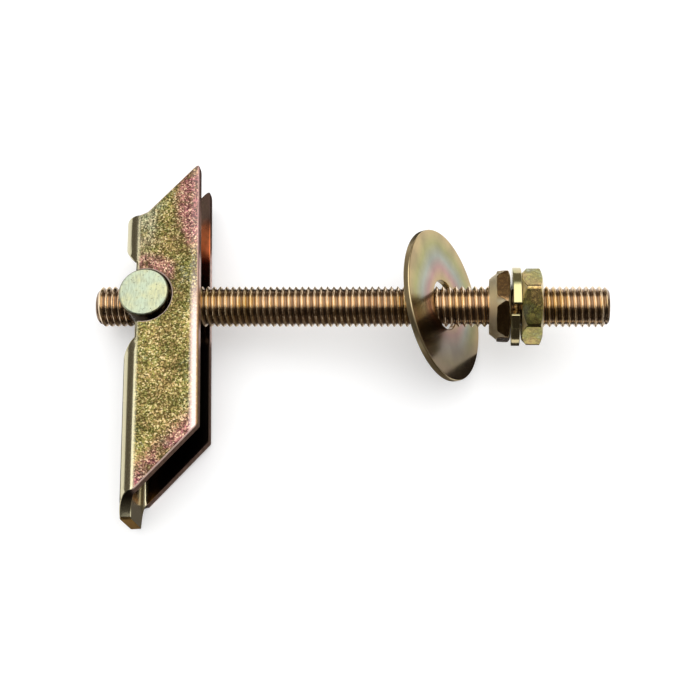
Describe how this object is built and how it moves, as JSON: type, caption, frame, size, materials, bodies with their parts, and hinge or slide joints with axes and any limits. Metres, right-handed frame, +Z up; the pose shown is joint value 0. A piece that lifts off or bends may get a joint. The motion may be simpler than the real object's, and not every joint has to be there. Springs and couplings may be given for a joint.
{
  "type": "spring toggle bolt",
  "caption": "Threaded rod with a tilting steel channel toggle on a cross nut, a wide washer, and thin nuts with a spring lock washer for hanging loads from hollow ceilings.",
  "frame": {"origin": "centre of the bounding box at floor level, the bolt lying at rest", "axes": "+X along the rod from the toggle to the nuts, +Z up, +Y along the toggle towards its short half"},
  "size_m": [0.1002, 0.073, 0.0262],
  "materials": {
    "rod_zinc": "yellow passivated zinc",
    "trunnion_zinc": "yellow passivated zinc, brushed ends",
    "channel_zinc": "yellow passivated zinc, speckled",
    "washer_zinc": "yellow passivated zinc, smooth",
    "nut_zinc": "yellow passivated zinc",
    "lock_zinc": "yellow passivated zinc"
  },
  "bodies": {
    "rod": {"threaded_rod": "rod_zinc"},
    "trunnion": {"trunnion_nut": "trunnion_zinc"},
    "toggle": {"toggle_channel": "channel_zinc"},
    "washer": {"large_washer": "washer_zinc"},
    "lock_washer": {"spring_lock_washer": "lock_zinc"},
    "hex_nuts": {"inner_nut": "nut_zinc", "outer_nut": "nut_zinc"}
  },
  "joints": [
    {"name": "trunnion_travel", "type": "slide", "parent": "rod", "child": "trunnion", "axis": [0.9962, -0.0028, 0.0865], "range_m": [-0.005, 0.002]},
    {"name": "toggle_swing", "type": "hinge", "parent": "trunnion", "child": "toggle", "pos_m": [-0.03925, 0.00767, 0.00809], "axis": [0.0865, 0.0325, -0.9957], "range_deg": [-35, 74]},
    {"name": "washer_slide", "type": "slide", "parent": "rod", "child": "washer", "axis": [0.9962, -0.0028, 0.0865], "range_m": [-0.01, 0.0025]},
    {"name": "nut_travel", "type": "slide", "parent": "rod", "child": "lock_washer", "axis": [0.9962, -0.0028, 0.0865], "range_m": [-0.00125, 0.00813]},
    {"name": "nut_spin", "type": "hinge", "parent": "lock_washer", "child": "hex_nuts", "pos_m": [0.02904, 0.00748, 0.01402], "axis": [0.9962, -0.0028, 0.0865], "range_deg": [-360, 2340]}
  ],
  "couplings": [
    {"joint": "nut_travel", "follows": "nut_spin", "m_per_rad": 0.00019894}
  ]
}
